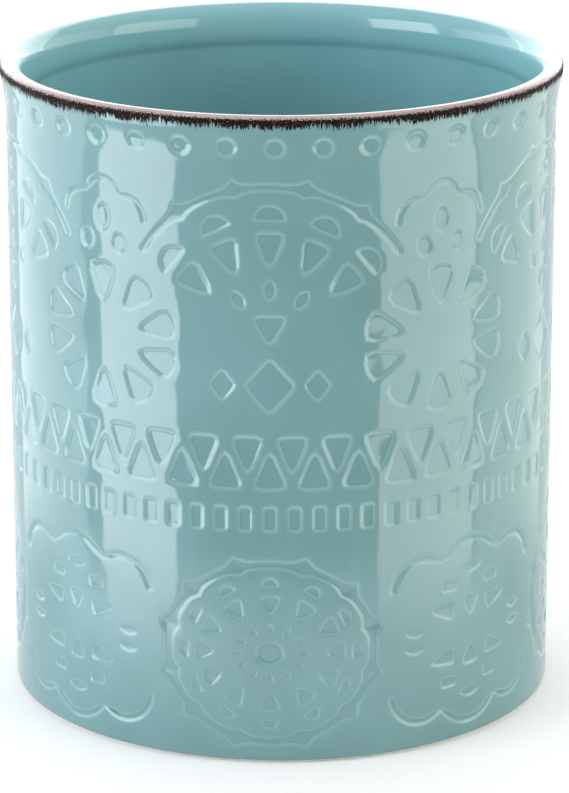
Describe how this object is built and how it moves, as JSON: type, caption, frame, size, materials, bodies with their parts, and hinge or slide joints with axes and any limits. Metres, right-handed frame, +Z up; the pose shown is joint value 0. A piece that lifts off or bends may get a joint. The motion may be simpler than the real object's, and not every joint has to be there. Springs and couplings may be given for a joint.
{
  "type": "utensil crock",
  "caption": "Straight round stoneware utensil crock with a flared rim, glossy turquoise glaze over pressed geometric relief, a dark rim line and a bare foot ring.",
  "frame": {"origin": "centre of the foot ring, on the table", "axes": "+Z up along the crock's axis, -Y the front of the relief"},
  "size_m": [0.16, 0.16, 0.184],
  "materials": {
    "stoneware": "bare fired stoneware, matt",
    "turquoise_glaze": "glossy turquoise glaze, darker where it pools",
    "liner_glaze": "glossy turquoise glaze",
    "iron_wash": "dark brown iron wash, satin"
  },
  "bodies": {
    "root": {"stoneware_body": "stoneware", "outer_glaze": "turquoise_glaze", "liner_glaze": "liner_glaze", "rim_band": "iron_wash", "base_glaze": "liner_glaze"}
  },
  "joints": []
}
